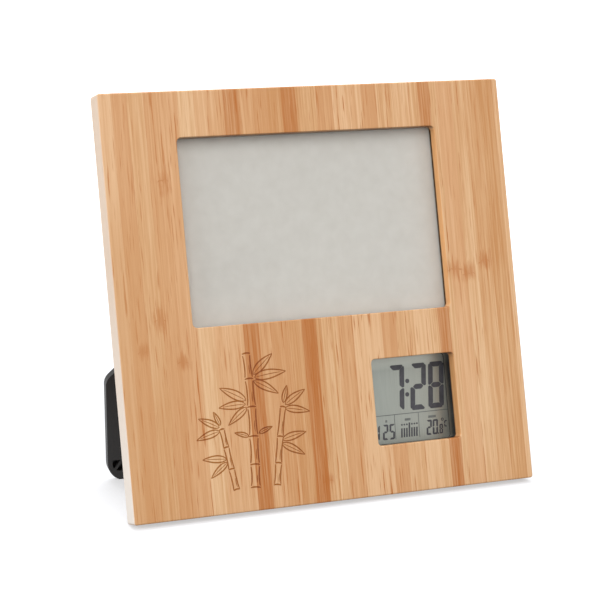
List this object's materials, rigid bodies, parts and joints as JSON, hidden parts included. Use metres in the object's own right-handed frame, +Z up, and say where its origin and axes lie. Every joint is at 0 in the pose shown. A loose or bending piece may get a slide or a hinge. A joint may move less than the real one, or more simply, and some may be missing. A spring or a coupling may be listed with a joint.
{
  "type": "photo frame clock",
  "caption": "Leaning bamboo board with a picture opening and a small liquid crystal clock window, propped on a fold-out black plastic leg.",
  "frame": {"origin": "centre of the bounding box's base, on the table", "axes": "+Z up from the table, +X along the board's width, to the right seen from the front, +Y from the front of the board towards the leg"},
  "size_m": [0.217, 0.0908, 0.2056],
  "materials": {
    "bamboo": "fine satin oil on laminated bamboo",
    "clear_pane": "polished clear sheet",
    "grey_card": "plain warm grey card",
    "fibreboard": "brown hardboard",
    "nickel": "bright nickel plate",
    "steel": "plain zinc plated steel",
    "black_plastic": "fine spark texture",
    "button_rubber": "soft satin",
    "foam": "closed-cell foam",
    "display": "grey-green reflective liquid crystal glass",
    "strip_rubber": "striped contact rubber",
    "circuit": "green solder resist",
    "resin": "black epoxy",
    "can": "bright can",
    "sounder_plastic": "moulded black",
    "bead": "dipped bead",
    "cell_jacket": "printed steel jacket, plain",
    "contact_metal": "nickel plated spring steel",
    "lead_red": "PVC insulation",
    "lead_black": "PVC insulation"
  },
  "bodies": {
    "board": {"front_board": "bamboo", "picture_pane": "clear_pane", "picture_card": "grey_card", "backing_board": "fibreboard", "turn_tab_screws": "steel", "clock_case": "black_plastic", "case_board_screws": "steel", "clock_cover": "black_plastic", "cover_screws": "steel", "display_gasket": "foam", "display_panel": "display", "display_connector_low": "strip_rubber", "display_connector_high": "strip_rubber", "circuit_board": "circuit", "clock_chip": "resin", "quartz_crystal": "can", "alarm_sounder": "sounder_plastic", "temperature_sensor": "bead", "switch_domes": "button_rubber", "cell_left": "cell_jacket", "cell_right": "cell_jacket", "cell_springs": "contact_metal", "cell_link_plate": "contact_metal", "cell_terminal_plates": "contact_metal", "lead_plus": "lead_red", "lead_minus": "lead_black", "hinge_bracket": "steel", "hinge_pin": "steel", "bracket_screws": "steel"},
    "leg": {"stand_leg": "black_plastic"},
    "door": {"battery_door": "black_plastic"},
    "turn_tab_left_low": {"turn_tab_left_low": "nickel"},
    "turn_tab_left_high": {"turn_tab_left_high": "nickel"},
    "turn_tab_right_low": {"turn_tab_right_low": "nickel"},
    "turn_tab_right_high": {"turn_tab_right_high": "nickel"},
    "mode_button_body": {"mode_button": "button_rubber"},
    "set_button_body": {"set_button": "button_rubber"},
    "up_button_body": {"up_button": "button_rubber"},
    "down_button_body": {"down_button": "button_rubber"}
  },
  "joints": [
    {"name": "leg_fold", "type": "hinge", "parent": "board", "child": "leg", "pos_m": [0, 0.00638, 0.14438], "axis": [1, 0, 0], "range_deg": [-28, 0]},
    {"name": "turn_left_low", "type": "hinge", "parent": "board", "child": "turn_tab_left_low", "pos_m": [-0.0871, -0.00772, 0.10768], "axis": [0, 0.9715, -0.2368], "range_deg": [0, 90]},
    {"name": "turn_left_high", "type": "hinge", "parent": "board", "child": "turn_tab_left_high", "pos_m": [-0.0871, 0.00554, 0.16208], "axis": [0, -0.9715, 0.2368], "range_deg": [0, 90]},
    {"name": "turn_right_low", "type": "hinge", "parent": "board", "child": "turn_tab_right_low", "pos_m": [0.0871, -0.00772, 0.10768], "axis": [0, -0.9715, 0.2368], "range_deg": [0, 90]},
    {"name": "turn_right_high", "type": "hinge", "parent": "board", "child": "turn_tab_right_high", "pos_m": [0.0871, 0.00554, 0.16208], "axis": [0, 0.9715, -0.2368], "range_deg": [0, 90]},
    {"name": "mode_press", "type": "slide", "parent": "board", "child": "mode_button_body", "axis": [0, -0.9715, 0.2368], "range_m": [0, 0.0008], "stiffness_N_per_m": 500},
    {"name": "set_press", "type": "slide", "parent": "board", "child": "set_button_body", "axis": [0, -0.9715, 0.2368], "range_m": [0, 0.0008], "stiffness_N_per_m": 500},
    {"name": "up_press", "type": "slide", "parent": "board", "child": "up_button_body", "axis": [0, -0.9715, 0.2368], "range_m": [0, 0.0008], "stiffness_N_per_m": 500},
    {"name": "down_press", "type": "slide", "parent": "board", "child": "down_button_body", "axis": [0, -0.9715, 0.2368], "range_m": [0, 0.0008], "stiffness_N_per_m": 500},
    {"name": "door_lift", "type": "slide", "parent": "board", "child": "door", "axis": [0, 0.9715, -0.2368], "range_m": [0, 0.02]}
  ]
}
